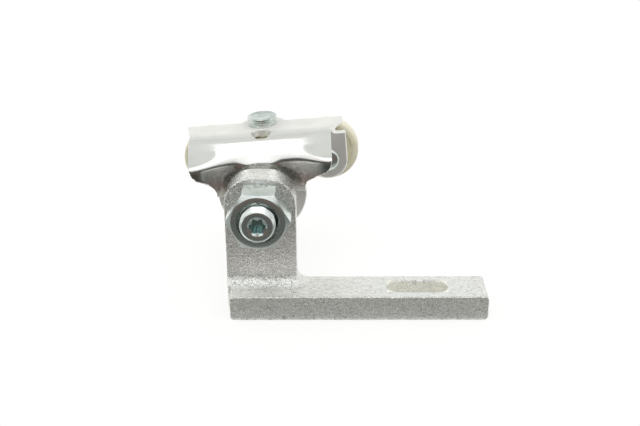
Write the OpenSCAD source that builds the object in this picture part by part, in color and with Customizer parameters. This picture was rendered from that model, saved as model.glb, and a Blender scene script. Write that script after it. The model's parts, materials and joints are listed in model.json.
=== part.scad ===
// Sliding door roller: a cast arm with a fixing slot, an M12 swivel stud with its nut,
// and a pressed carriage that holds two side rollers and one upright guide roller.
// The origin is at the centre of the slot, on the underside of the arm. X runs along
// the arm away from the lug, Y runs from the nut to the rollers, Z is up.

/* [Arm] */
// Length of the bar from its end face to the left side of the lug
arm_l = 90.2; // [80:0.1:120]
// Width of the bar
bar_w = 16; // [12:0.5:24]
// Height of the bar
bar_h = 9; // [7:0.5:14]
// Distance from the slot centre to the free end of the bar
slot_to_end = 24; // [18:0.5:40]
// Length of the slot over its round ends
slot_l = 21; // [12:0.5:30]
// Width of the slot
slot_w = 8.4; // [6:0.1:10]
// Corner radius at the free end of the bar
bar_corner_r = 1.5; // [0.5:0.1:3]
// Width of the lug
lug_w = 24.4; // [22:0.2:30]
// Thickness of the lug
lug_t = 10; // [8:0.5:14]
// Distance of the lug's front face behind the bar's centre line
lug_front_y = 2; // [0:0.5:4]
// Corner radius at the top of the lug
lug_corner_r = 9.5; // [4:0.5:10.5]
// Material of the lug above the centre of its bore
lug_above_bore = 11.4; // [10:0.2:16]
// Fillet between the lug and the bar
lug_fillet_r = 4; // [1:0.5:5]
// Height of the swivel axis above the underside of the arm
pivot_z = 36.9; // [34:0.1:50]

/* [Stud and nut] */
// Outer diameter of the stud's thread
stud_d = 12; // [10:0.5:14]
// Radial clearance of the stud in the lug
stud_gap = 0.1; // [0.02:0.01:0.3]
// Length of thread that stands out of the nut
stud_out = 3.2; // [1:0.1:8]
// Chamfer at the end of the stud
stud_chamfer = 0.9; // [0.3:0.1:1.5]
// Width over the six lobes of the recess
recess_d = 5.6; // [4:0.1:6]
// Depth of the six-lobe recess
recess_depth = 3.6; // [2:0.1:5]
// Diameter of the stud's flange behind the lug
flange_d = 18.6; // [17:0.1:20]
// Thickness of the stud's flange
flange_t = 5; // [4:0.1:5.6]
// Diameter of the swivel journal
journal_d = 14; // [13:0.1:14.5]
// Diameter of the stud's tail inside the rear washer
tail_d = 9; // [6:0.5:10]
// Diameter of the riveted head on the tail
tail_head_d = 13; // [11:0.5:14]
// Height of the riveted head
tail_head_h = 2.5; // [1.5:0.1:4]
// Width of the nut across its flats
nut_af = 19; // [18:0.5:20]
// Height of the nut
nut_h = 10.5; // [8:0.1:12]
// Angle by which the nut is turned from level flats
nut_turn = 1.5; // [-30:0.5:30]
// Outer diameter of the nut's countersink
nut_sink_d = 14.6; // [13:0.1:16]

/* [Swivel bush] */
// Wall of the bush in the eye of the carriage
bush_wall = 1; // [0.8:0.1:1.5]
// Diameter of the bush's flange
bush_flange_d = 18; // [17:0.5:20]
// Radial running clearance of the bush on the stud
bush_gap = 0.05; // [0.02:0.01:0.1]
// Axial play of the carriage on the stud
swivel_play = 0.1; // [0.05:0.01:0.3]
// Thickness of the washer behind the eye
rear_washer_t = 1.5; // [1:0.1:2]
// Diameter of the washer behind the eye
rear_washer_d = 18.8; // [17:0.1:22]

/* [Carriage plate] */
// Thickness of the pressed sheet
sheet_t = 2.5; // [2.5:0.1:3.2]
// Angle of the carriage on its stud, right side up
carriage_tilt = 4.2; // [-20:0.1:20]
// Width of the front apron
apron_w = 49.5; // [44:0.5:56]
// Distance of the apron's middle to the right of the swivel axis
apron_x = 0.8; // [-1:0.1:1]
// Gap between the lug and the apron
apron_gap = 3.6; // [3:0.1:5]
// Height of the top sheet above the swivel axis
top_z = 21; // [20.5:0.1:23]
// Outer radius of the bend between the top sheet and the apron
bend_r = 7; // [5:0.1:8]
// Half width of the apron's straight middle, behind the lug
wing_start = 9; // [7:0.5:11]
// Length of the sloping face at the wings' ends
wing_slope_l = 8; // [1:0.5:8.5]
// Angle of the sloping face below the top sheet
wing_slope = 38; // [30:1:45]
// Bend radius between the top sheet and the sloping face
crease_r = 6; // [4:0.5:7]
// Bend radius below the sloping face
wing_bend_r = 4; // [3.4:0.1:7]
// Width of the slanted cut at the apron's lower corners
corner_run = 5; // [3:0.5:6]
// Height of the slanted cut at the apron's lower corners
corner_rise = 3.5; // [2:0.5:5]
// Height of the apron's shoulder over the swivel axis
shoulder_z = 6.6; // [5.5:0.1:7]
// Height of the edge of the joggle over the swivel axis
joggle_z = 0.8; // [0.4:0.1:1.5]
// Radius of the eye
eye_r = 15.6; // [15:0.1:17]
// Radius of the arch that clears the stud's flange
arch_r = 11.5; // [11:0.1:12.5]
// Distance of the top sheet's rear edge behind the apron
sheet_d = 18; // [17:0.1:18.4]
// How far the top sheet's rear left corner stands out past the apron
left_flare = 1.8; // [0:0.1:3]
// How far the top sheet's rear right corner stands out past the apron
right_flare = 4.4; // [0:0.1:5]
// Diameter of the hole in the top sheet
hole_d = 6.2; // [4:0.1:6.8]
// Distance of the hole behind the apron
hole_y = 6.2; // [5:0.1:6.4]
// Sideways place of the hole and of the guide roller
guide_x = 1.4; // [-1:0.1:2]

/* [Side rollers] */
// Diameter of the side rollers
side_d = 22.4; // [18:0.1:23]
// Width of the side rollers
side_w = 6.5; // [5:0.1:7]
// Height of the side rollers' axis above the swivel axis
side_z = 7.9; // [7:0.1:8.5]
// Place of the left roller's axis
left_x = -17.7; // [-20:0.1:-17]
// Place of the right roller's axis
right_x = 23.6; // [20:0.1:25]
// Distance of the ears behind the apron
ear_y = 9; // [8.5:0.1:10]
// Half width of the ears
ear_r = 7.1; // [6:0.1:7.5]
// Bend radius of the ears
ear_bend_r = 3; // [2.8:0.1:4]
// Length of the spacer between an ear and its roller
spacer_l = 7.4; // [7:0.1:10]
// Diameter of the spacer
spacer_d = 9; // [8:0.5:10]
// Diameter of the journal of the side axles
side_axle_d = 6; // [5:0.1:6.5]
// Diameter of the low rivet head on the ear
side_head_d = 8.8; // [8:0.1:10]
// Height of the low rivet head
side_head_h = 1.2; // [0.8:0.1:2]
// Depth of the recess in the rollers' faces
face_recess = 1.6; // [1:0.1:2]
// Wall of the rim around the recess
rim_wall = 2.3; // [2:0.1:3]

/* [Guide roller] */
// Diameter of the upright guide roller
guide_d = 16; // [12:0.1:16.6]
// Height of the upright guide roller
guide_h = 7; // [6:0.1:7.4]
// Distance of the guide roller's axis behind the apron
guide_y = 15.3; // [14.8:0.1:17]
// Radius of the lobe of sheet around the guide roller's rivet
lobe_r = 8.3; // [7.5:0.1:9]
// Diameter of the rivet head on the top sheet
guide_head_d = 10.4; // [9:0.1:12]
// Height of the rivet head on the top sheet
guide_head_h = 3.3; // [2:0.1:4]
// Depth of the dish in the rivet head
dish_h = 0.4; // [0.2:0.1:0.8]

/* [Bearings] */
// Wall of the steel sleeve inside each roller
sleeve_wall = 1.2; // [1:0.1:1.3]
// Radial running clearance of the sleeves on their axles
sleeve_gap = 0.05; // [0.02:0.01:0.1]
// Radial gap of pieces that are pressed or riveted together
press_gap = 0.02; // [0.01:0.01:0.05]
// Axial play of each roller
roller_play = 0.2; // [0.1:0.05:0.3]
// Thickness of the thin washers at the rollers
washer_t = 0.8; // [0.5:0.1:1]
// Diameter of the thin washers
washer_d = 10; // [9:0.1:11]
// Height of the riveted ends of the axles
rivet_end_h = 1.4; // [1:0.1:2]

/* [Hidden] */
$fn = 96;

// Colours of the finishes
zinc = [0.78, 0.80, 0.78];
cast_zinc = [0.66, 0.66, 0.62];
steel = [0.70, 0.73, 0.72];
nylon = [0.91, 0.87, 0.70];

// A small overlap that keeps cuts clean
eps = 0.01;

// Arm
arm_left_x = slot_to_end - arm_l;
pivot_x = arm_left_x + lug_w / 2;
lug_top_z = pivot_z + lug_above_bore;
lug_rear_y = lug_front_y + lug_t;
stud_r = stud_d / 2;
stud_bore_r = stud_r + stud_gap;

// Nut and stud, measured along Y
nut_front_y = lug_front_y - nut_h;
nut_corner_r = nut_af / sqrt(3);
nut_face_r = nut_af * 0.475;
nut_chamfer_h = (nut_corner_r - nut_face_r) * tan(30);
stud_front_y = nut_front_y - stud_out;
journal_r = journal_d / 2;
flange_rear_y = lug_rear_y + flange_t;

// Carriage plate, measured along Y
apron_y = lug_rear_y + apron_gap;
joggle = sheet_t - 0.3;
eye_y = apron_y + joggle;
eye_rear_y = eye_y + sheet_t;
journal_rear_y = eye_rear_y + swivel_play;
washer_rear_y = journal_rear_y + rear_washer_t;
bush_front_y = flange_rear_y + swivel_play / 2;
bush_r = journal_r + bush_gap + bush_wall;
eye_bore_r = bush_r + press_gap;
top_under_z = top_z - sheet_t;
sheet_rear_y = apron_y + sheet_d;
apron_left_x = apron_x - apron_w / 2;
apron_right_x = apron_x + apron_w / 2;
wing_steps = 44;
bend_steps = 9;
arch_outer_r = arch_r + sheet_t;

// Side rollers
side_r = side_d / 2;
ear_front_y = apron_y + ear_y;
ear_rear_y = ear_front_y + sheet_t;
roller_front_y = ear_rear_y + spacer_l + roller_play / 2;
roller_rear_y = roller_front_y + side_w;
side_washer_y = roller_rear_y + roller_play / 2;
side_tail_y = side_washer_y + washer_t;
side_axle_r = side_axle_d / 2;
sleeve_r = side_axle_r + sleeve_gap + sleeve_wall;

// Guide roller, measured from the top sheet down
guide_axis_y = apron_y + guide_y;
guide_washer_z = top_under_z - washer_t;
guide_top_z = guide_washer_z - roller_play / 2;
guide_bottom_z = guide_top_z - guide_h;
guide_low_washer_z = guide_bottom_z - roller_play / 2 - washer_t;

// Puts what was drawn along +Z onto the Y axis, so that z = 0 lies at y
module along_y(y) {
    translate([0, y, 0]) rotate([-90, 0, 0]) children();
}

// Extrudes a front outline drawn as [x, z] from y over the thickness t
module front_plate(y, t) {
    translate([0, y + t, 0]) rotate([90, 0, 0]) linear_extrude(t) children();
}

// Stands the arm's swivel axis
module at_pivot() {
    translate([pivot_x, 0, pivot_z]) children();
}

// Turns the carriage on its stud
module on_carriage() {
    at_pivot() rotate([0, -carriage_tilt, 0]) children();
}

module rounded_rect(w, h, r) {
    translate([r, 0]) square([w - 2 * r, h]);
    translate([0, r]) square([w, h - 2 * r]);
    for (x = [r, w - r], y = [r, h - r])
        translate([x, y]) circle(r);
}

// A ring drawn along +Z
module ring(outer_r, inner_r, h) {
    linear_extrude(h) difference() {
        circle(outer_r);
        circle(inner_r);
    }
}

// The slot's outline
module slot_outline() {
    reach = (slot_l - slot_w) / 2;
    translate([-reach, -slot_w / 2]) square([2 * reach, slot_w]);
    for (x = [-reach, reach])
        translate([x, 0]) circle(slot_w / 2);
}

// The front outline of the lug, with round top corners and a square foot
module lug_outline() {
    foot_h = lug_top_z / 2;
    translate([arm_left_x, 0]) {
        rounded_rect(lug_w, lug_top_z, lug_corner_r);
        square([lug_w, foot_h]);
    }
}

// The section of a concave fillet in the corner of two faces
module fillet_section(r) {
    difference() {
        translate([-eps, -eps]) square(r + eps);
        translate([r, r]) circle(r);
    }
}

module arm_fillets() {
    lug_right_x = arm_left_x + lug_w;
    // Along the lug's front face
    translate([arm_left_x, lug_front_y, bar_h])
        rotate([90, 0, 90]) linear_extrude(lug_w) mirror([1, 0]) fillet_section(lug_fillet_r);
    // Up the lug's right side
    front_plate(lug_front_y, bar_w / 2 - lug_front_y)
        translate([lug_right_x, bar_h]) fillet_section(lug_fillet_r);
    // Round the lug's corner
    translate([lug_right_x, lug_front_y, bar_h])
        rotate([0, 0, -90]) rotate_extrude(angle = 90)
            intersection() {
                fillet_section(lug_fillet_r);
                square(lug_fillet_r);
            }
}

module arm() {
    color(cast_zinc) difference() {
        union() {
            front_plate(-bar_w / 2, bar_w)
                translate([arm_left_x + bar_corner_r, 0])
                    rounded_rect(arm_l - bar_corner_r, bar_h, bar_corner_r);
            front_plate(lug_front_y, lug_t) lug_outline();
            arm_fillets();
        }
        translate([0, 0, -1]) linear_extrude(bar_h + 2) slot_outline();
        at_pivot() along_y(lug_front_y - 1) cylinder(r = stud_bore_r, h = lug_t + 2);
    }
}

// A hexagon nut with a chamfer at both faces and a wide countersink in front
module lock_nut() {
    sink_r = nut_sink_d / 2;
    color(steel) at_pivot() along_y(nut_front_y) difference() {
        intersection() {
            rotate([0, 0, nut_turn]) cylinder(r = nut_corner_r, h = nut_h, $fn = 6);
            rotate_extrude() polygon([
                [0, 0],
                [nut_face_r, 0],
                [nut_corner_r, nut_chamfer_h],
                [nut_corner_r, nut_h - nut_chamfer_h],
                [nut_face_r, nut_h],
                [0, nut_h]
            ]);
        }
        rotate_extrude() polygon([
            [0, -1],
            [sink_r, -1],
            [sink_r, 0],
            [stud_r + press_gap, sink_r - stud_r],
            [stud_r + press_gap, nut_h + 1],
            [0, nut_h + 1]
        ]);
    }
}

// The outline of the six-lobe recess
module six_lobes() {
    lobe_circle_r = recess_d * 0.135;
    circle(recess_d * 0.37);
    for (a = [0:60:300])
        rotate(a + 30) translate([recess_d / 2 - lobe_circle_r, 0]) circle(lobe_circle_r);
}

module pivot_stud() {
    front = stud_front_y;
    head_edge = tail_head_h * 0.45;
    color(steel) at_pivot() difference() {
        along_y(0) rotate_extrude() polygon([
            [0, front],
            [stud_r - stud_chamfer, front],
            [stud_r, front + stud_chamfer],
            [stud_r, lug_rear_y],
            [flange_d / 2, lug_rear_y],
            [flange_d / 2, flange_rear_y],
            [journal_r, flange_rear_y],
            [journal_r, journal_rear_y],
            [tail_d / 2, journal_rear_y],
            [tail_d / 2, washer_rear_y],
            [tail_head_d / 2, washer_rear_y],
            [tail_head_d / 2, washer_rear_y + head_edge],
            [tail_head_d / 4, washer_rear_y + tail_head_h],
            [0, washer_rear_y + tail_head_h]
        ]);
        along_y(front - 1) linear_extrude(recess_depth + 1) six_lobes();
        along_y(front - eps) cylinder(r1 = recess_d / 2 + 0.5, r2 = recess_d / 2 - 0.3, h = 0.6);
    }
}

module pivot_washer() {
    color(zinc) at_pivot() along_y(journal_rear_y)
        ring(rear_washer_d / 2, tail_d / 2 + press_gap, rear_washer_t);
}

module pivot_bush() {
    bore_r = journal_r + bush_gap;
    color(nylon) on_carriage() along_y(0) rotate_extrude() polygon([
        [bore_r, bush_front_y],
        [bush_flange_d / 2, bush_front_y],
        [bush_flange_d / 2, eye_y],
        [bush_r, eye_y],
        [bush_r, eye_rear_y],
        [bore_r, eye_rear_y]
    ]);
}

// How far a place along the apron is out on its wing, from 0 to 1
function wing_share(x) =
    let (t = (abs(x - apron_x) - wing_start) / (apron_w / 2 - wing_start))
    let (c = min(1, max(0, t)))
    c * c * (3 - 2 * c);

// The size of a bend at a share of the wing, from its middle to its end
function wing_mix(middle, end, x) = middle + (end - middle) * wing_share(x);

// The line of the sheet in one section, at a depth inside its outer face: the crease under
// the top sheet, the sloping face and the bend down to the vertical apron
function skin_line(x, inset) =
    let (slope = wing_mix(45, wing_slope, x))
    let (ra = wing_mix(bend_r, crease_r, x))
    let (rb = wing_mix(bend_r, wing_bend_r, x))
    let (run = wing_mix(0, wing_slope_l, x))
    let (by = bend_r - ra * sin(slope) - run * cos(slope) + rb * sin(slope))
    let (bz = top_z - ra * (1 - cos(slope)) - run * sin(slope) - rb * cos(slope))
    concat(
        [[bend_r + 1, top_z - inset]],
        [for (k = [0:bend_steps])
            let (t = slope * k / bend_steps)
            [bend_r - (ra - inset) * sin(t), top_z - ra + (ra - inset) * cos(t)]],
        [for (k = [0:bend_steps])
            let (t = slope + (90 - slope) * k / bend_steps)
            [by - (rb - inset) * sin(t), bz + (rb - inset) * cos(t)]],
        [[by - rb + inset, joggle_z]]
    );

// One closed section of the sheet
function skin_ring(x) =
    let (outer = skin_line(x, 0), inner = skin_line(x, sheet_t), n = len(inner))
    concat(outer, [for (k = [n - 1:-1:0]) inner[k]]);

// The pressed front of the sheet, before its lower edge is cut
module pressed_skin() {
    x0 = apron_left_x - 0.5;
    pitch = (apron_w + 1) / wing_steps;
    ring_n = len(skin_ring(0));
    points = [for (i = [0:wing_steps]) for (q = skin_ring(x0 + i * pitch)) [x0 + i * pitch, q[0], q[1]]];
    sides = [for (i = [0:wing_steps - 1]) for (j = [0:ring_n - 1])
        let (k = (j + 1) % ring_n)
        for (f = [
            [i * ring_n + j, (i + 1) * ring_n + k, i * ring_n + k],
            [i * ring_n + j, (i + 1) * ring_n + j, (i + 1) * ring_n + k]
        ]) f];
    first = [for (j = [0:ring_n - 1]) j];
    last = [for (j = [ring_n - 1:-1:0]) wing_steps * ring_n + j];
    translate([0, apron_y, 0]) polyhedron(points, concat(sides, [first, last]), convexity = 6);
}

// One side of the apron's front outline, from above the top sheet down to the neck
module apron_side(edge_x, side) {
    over_z = top_z + 1;
    corner_z = shoulder_z + corner_rise;
    polygon([
        [0, over_z],
        [edge_x, over_z],
        [edge_x, corner_z + corner_rise * 0.7],
        [edge_x - side * corner_run * 0.12, corner_z],
        [edge_x - side * corner_run * 0.4, corner_z - corner_rise * 0.55],
        [edge_x - side * corner_run * 1.1, shoulder_z],
        [side * (eye_r + 0.7), shoulder_z * 0.65],
        [side * eye_r, shoulder_z * 0.4],
        [side * eye_r, joggle_z],
        [0, joggle_z]
    ]);
}

// The apron's front outline below its bend, open around the stud's flange
module apron_outline() {
    difference() {
        union() {
            apron_side(apron_left_x, -1);
            apron_side(apron_right_x, 1);
        }
        circle(arch_r);
    }
}

// The eye: a round lower end and an arch that meets the neck
module eye_outline() {
    difference() {
        union() {
            intersection() {
                circle(eye_r);
                translate([-eye_r, -eye_r]) square([2 * eye_r, eye_r + joggle_z + sheet_t * 0.6]);
            }
            circle(arch_outer_r);
        }
        circle(eye_bore_r);
    }
}

// A quarter bend along X from a top sheet at z = 0 down to a front face at y = 0
module bend(x0, x1, r) {
    translate([x0, r, -r]) rotate([90, 0, 90]) linear_extrude(x1 - x0) intersection() {
        difference() {
            circle(r);
            circle(r - sheet_t);
        }
        translate([-r, 0]) square(r);
    }
}

// The top sheet seen from above, measured from the apron's face
module top_outline() {
    polygon([
        [apron_left_x, bend_r - eps],
        [apron_right_x, bend_r - eps],
        [apron_right_x, bend_r + 1],
        [apron_right_x + right_flare, sheet_d],
        [apron_left_x - left_flare, sheet_d],
        [apron_left_x, bend_r + 1]
    ]);
    translate([guide_x, guide_y]) circle(lobe_r);
}

// An ear bent down from the top sheet to hold one side roller
module ear(x) {
    bend_left = max(x - ear_r, apron_left_x);
    bend_right = min(x + ear_r, apron_right_x);
    translate([0, ear_front_y, top_z]) bend(bend_left, bend_right, ear_bend_r);
    front_plate(ear_front_y, sheet_t) {
        translate([x - ear_r, side_z]) square([2 * ear_r, top_z - ear_bend_r - side_z]);
        translate([x, side_z]) circle(ear_r);
    }
}

module carriage_bracket() {
    color(zinc) on_carriage() difference() {
        union() {
            intersection() {
                pressed_skin();
                front_plate(apron_y - bend_r, 3 * bend_r) apron_outline();
            }
            front_plate(eye_y, sheet_t) eye_outline();
            translate([0, apron_y, top_under_z]) linear_extrude(sheet_t) top_outline();
            for (x = [left_x, right_x])
                ear(x);
        }
        translate([guide_x, apron_y + hole_y, top_under_z - 1])
            cylinder(d = hole_d, h = sheet_t + 2);
        translate([guide_x, guide_axis_y, top_under_z - 1])
            cylinder(r = side_axle_r + press_gap, h = sheet_t + 2);
        for (x = [left_x, right_x])
            translate([x, 0, side_z]) along_y(ear_front_y - 1)
                cylinder(r = side_axle_r + press_gap, h = sheet_t + 2);
    }
}

// A stepped rivet: a low head in front of the ear and a riveted end behind the washer
module side_axle(x) {
    edge = side_head_h * 0.5;
    color(steel) on_carriage() translate([x, 0, side_z]) along_y(0) rotate_extrude() polygon([
        [0, ear_front_y - side_head_h],
        [side_head_d / 2 - edge, ear_front_y - side_head_h],
        [side_head_d / 2, ear_front_y - side_head_h + edge],
        [side_head_d / 2, ear_front_y],
        [side_axle_r, ear_front_y],
        [side_axle_r, side_tail_y],
        [side_axle_r + 1.2, side_tail_y],
        [side_axle_r + 1.2, side_tail_y + rivet_end_h * 0.4],
        [side_axle_r - 1, side_tail_y + rivet_end_h],
        [0, side_tail_y + rivet_end_h]
    ]);
}

module side_spacer(x) {
    color(steel) on_carriage() translate([x, 0, side_z]) along_y(ear_rear_y)
        ring(spacer_d / 2, side_axle_r + press_gap, spacer_l);
}

// A moulded roller with a recess in both faces, drawn along +Z from z = 0
module roller(r, w) {
    hub_r = sleeve_r + 1.6;
    rim_r = r - rim_wall;
    edge = 0.8;
    bore_r = sleeve_r + press_gap;
    rotate_extrude() polygon([
        [bore_r, 0],
        [hub_r, 0],
        [hub_r, face_recess],
        [rim_r, face_recess],
        [rim_r, 0],
        [r - edge, 0],
        [r, edge],
        [r, w - edge],
        [r - edge, w],
        [rim_r, w],
        [rim_r, w - face_recess],
        [hub_r, w - face_recess],
        [hub_r, w],
        [bore_r, w]
    ]);
}

module side_roller(x) {
    color(nylon) on_carriage() translate([x, 0, side_z]) along_y(roller_front_y)
        roller(side_r, side_w);
}

module side_sleeve(x) {
    color(steel) on_carriage() translate([x, 0, side_z]) along_y(roller_front_y)
        ring(sleeve_r, side_axle_r + sleeve_gap, side_w);
}

module side_washer(x) {
    color(zinc) on_carriage() translate([x, 0, side_z]) along_y(side_washer_y)
        ring(washer_d / 2, side_axle_r + press_gap, washer_t);
}

// The guide roller's rivet, with a dished head on the top sheet
module guide_axle() {
    head_r = guide_head_d / 2;
    top = top_z + guide_head_h;
    edge = 0.4;
    end_z = guide_low_washer_z - rivet_end_h;
    color(zinc) on_carriage() translate([guide_x, guide_axis_y, 0]) rotate_extrude() polygon([
        [0, end_z],
        [side_axle_r - 1, end_z],
        [side_axle_r + 1.2, end_z + rivet_end_h * 0.6],
        [side_axle_r + 1.2, guide_low_washer_z],
        [side_axle_r, guide_low_washer_z],
        [side_axle_r, top_z],
        [head_r, top_z],
        [head_r, top - edge],
        [head_r - edge, top],
        [head_r - edge - 0.6, top],
        [head_r - edge - 1.2, top - dish_h],
        [0, top - dish_h]
    ]);
}

module guide_roller() {
    r = guide_d / 2;
    bore_r = sleeve_r + press_gap;
    edge = 0.8;
    color(nylon) on_carriage() translate([guide_x, guide_axis_y, guide_bottom_z])
        rotate_extrude() polygon([
            [bore_r, 0],
            [r - edge, 0],
            [r, edge],
            [r, guide_h - edge],
            [r - edge, guide_h],
            [bore_r, guide_h]
        ]);
}

module guide_sleeve() {
    color(steel) on_carriage() translate([guide_x, guide_axis_y, guide_bottom_z])
        ring(sleeve_r, side_axle_r + sleeve_gap, guide_h);
}

module guide_washer(z) {
    color(zinc) on_carriage() translate([guide_x, guide_axis_y, z])
        ring(washer_d / 2, side_axle_r + press_gap, washer_t);
}

arm();
lock_nut();
pivot_stud();
pivot_washer();
pivot_bush();
carriage_bracket();
side_axle(left_x);  // side_axle_left
side_axle(right_x);  // side_axle_right
side_spacer(left_x);  // side_spacer_left
side_spacer(right_x);  // side_spacer_right
side_roller(left_x);  // side_roller_left
side_roller(right_x);  // side_roller_right
side_sleeve(left_x);  // side_sleeve_left
side_sleeve(right_x);  // side_sleeve_right
side_washer(left_x);  // side_washer_left
side_washer(right_x);  // side_washer_right
guide_axle();
guide_roller();
guide_sleeve();
guide_washer(guide_washer_z);  // guide_washer_top
guide_washer(guide_low_washer_z);  // guide_washer_bottom
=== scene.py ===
"""Looks for the sliding door roller: a cast arm, a swivel stud with its nut and a pressed carriage."""

import json
import logging
import math
from dataclasses import dataclass
from enum import Enum
from typing import Callable, Sequence

import bmesh
import bpy
from mathutils import Matrix, Vector, noise


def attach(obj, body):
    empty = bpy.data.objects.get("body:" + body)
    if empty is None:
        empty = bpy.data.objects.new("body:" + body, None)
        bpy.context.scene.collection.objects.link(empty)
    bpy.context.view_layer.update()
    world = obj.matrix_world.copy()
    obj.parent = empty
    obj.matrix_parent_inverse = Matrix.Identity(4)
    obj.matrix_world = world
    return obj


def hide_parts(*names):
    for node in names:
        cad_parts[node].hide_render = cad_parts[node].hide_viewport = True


LOG = logging.getLogger("door_roller")
# One millimetre in the scene's metres. Sizes are in millimetres, apart from the lamp's.
MM = 0.001
# The swivel axis in the row frame, and how far the carriage is turned on it at rest.
PIVOT_X = -54.0
PIVOT_Z = 36.9
TILT_DEG = 4.2
RGB = tuple[float, float, float]
Span = tuple[float, float]
Profile = Sequence[tuple[float, float]]


class Body(Enum):
    """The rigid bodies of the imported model."""

    ARM = "arm"
    CARRIAGE = "carriage"
    LEFT = "left_roller"
    RIGHT = "right_roller"
    TOP = "top_roller"


class Slot(Enum):
    """The material slots of the record."""

    CAST = "cast_zinc"
    SHEET = "zinc_sheet"
    STEEL = "zinc_steel"
    NYLON = "nylon"


class Wire:
    """A shader socket that adds, subtracts and multiplies like a number."""

    def __init__(self, graph: "Graph", socket: bpy.types.NodeSocket | None) -> None:
        """Wraps one output socket.

        Args:
            graph: the node tree that the socket belongs to.
            socket: the output socket, or None for an output node.
        """
        self.graph = graph
        self.socket = socket

    def _math(self, operation: str, *values: "Wire | float") -> "Wire":
        """Adds a Math node.

        Args:
            operation: the Math node's operation.
            values: its inputs in order.

        Returns:
            The node's result.
        """
        inputs = dict(enumerate(values))
        return self.graph.add("ShaderNodeMath", {"operation": operation}, inputs)

    def __add__(self, other: "Wire | float") -> "Wire":
        """Adds."""
        return self._math("ADD", self, other)

    __radd__ = __add__

    def __sub__(self, other: "Wire | float") -> "Wire":
        """Subtracts."""
        return self._math("SUBTRACT", self, other)

    def __rsub__(self, other: float) -> "Wire":
        """Subtracts this from a number."""
        return self._math("SUBTRACT", other, self)

    def __mul__(self, other: "Wire | float") -> "Wire":
        """Multiplies."""
        return self._math("MULTIPLY", self, other)

    __rmul__ = __mul__

    def __abs__(self) -> "Wire":
        """Drops the sign."""
        return self._math("ABSOLUTE", self)

    def above(self, low: float, high: float) -> "Wire":
        """A smooth step from 0 at low to 1 at high."""
        inputs = {"Value": self, "From Min": low, "From Max": high}
        return self.graph.add("ShaderNodeMapRange", {"interpolation_type": "SMOOTHSTEP"}, inputs)

    def past(self, span_mm: Span) -> "Wire":
        """A smooth step over a span of a length, given in millimetres."""
        return self.above(span_mm[0] * MM, span_mm[1] * MM)

    def within(self, span_mm: Span) -> "Wire":
        """The opposite of past: 1 below the span and 0 beyond it."""
        return 1 - self.past(span_mm)


class Graph:
    """One material's or world's node tree."""

    def __init__(self, tree: bpy.types.NodeTree) -> None:
        """Starts with an empty tree.

        Args:
            tree: the tree to fill.
        """
        self.tree = tree
        tree.nodes.clear()

    def add(
        self,
        kind: str,
        settings: dict[str, object] | None = None,
        inputs: dict[object, object] | None = None,
        output: int | str = 0,
    ) -> Wire:
        """Adds a node, sets its options first and then its sockets.

        Args:
            kind: the node's type.
            settings: its options.
            inputs: values or wires by socket name or number.
            output: the socket to hand back.

        Returns:
            The chosen output, or its first one.
        """
        node = self.tree.nodes.new(kind)
        for key, value in (settings or {}).items():
            setattr(node, key, value)
        for key, value in (inputs or {}).items():
            if isinstance(value, Wire):
                self.tree.links.new(value.socket, node.inputs[key])
            else:
                node.inputs[key].default_value = value
        return Wire(self, node.outputs[output] if len(node.outputs) else None)

    def split(self, vector: Wire) -> list[Wire]:
        """The X, Y and Z of a vector."""
        return [self.add("ShaderNodeSeparateXYZ", None, {"Vector": vector}, axis) for axis in "XYZ"]

    def place(self) -> Wire:
        """The place on the object, in metres and in the row frame at rest."""
        return self.add("ShaderNodeTexCoord", output="Object")

    def ray(self, kind: str) -> Wire:
        """1 for rays of one kind, such as Is Camera Ray."""
        return self.add("ShaderNodeLightPath", output=kind)

    def noise(self, size_mm: float, detail: float = 2.0) -> Wire:
        """A noise value over the object.

        Args:
            size_mm: the size of its largest cells.
            detail: its finer octaves.

        Returns:
            The noise from 0 to 1.
        """
        inputs = {"Vector": self.place(), "Scale": 1.0 / (size_mm * MM), "Detail": detail}
        return self.add("ShaderNodeTexNoise", None, inputs)

    def blend(self, factor: Wire, first: Wire | RGB, second: Wire | RGB) -> Wire:
        """Mixes two colours.

        Args:
            factor: 0 for the first colour and 1 for the second.
            first: a colour or wire.
            second: a colour or wire.

        Returns:
            The mixed colour.
        """

        def full(value: Wire | RGB) -> object:
            """Adds alpha to a plain colour."""
            return value if isinstance(value, Wire) else (*value, 1.0)

        # Sockets 6 and 7 are the Mix node's two colours, and its output 2 is their blend.
        inputs = {"Factor": factor, 6: full(first), 7: full(second)}
        return self.add("ShaderNodeMix", {"data_type": "RGBA"}, inputs, 2)


@dataclass
class Skin:
    """What a finish feeds into the shader, open to change until the shader is built."""

    colour: Wire
    metal: Wire | float
    rough: Wire
    height: Wire
    facing: Wire


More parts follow.
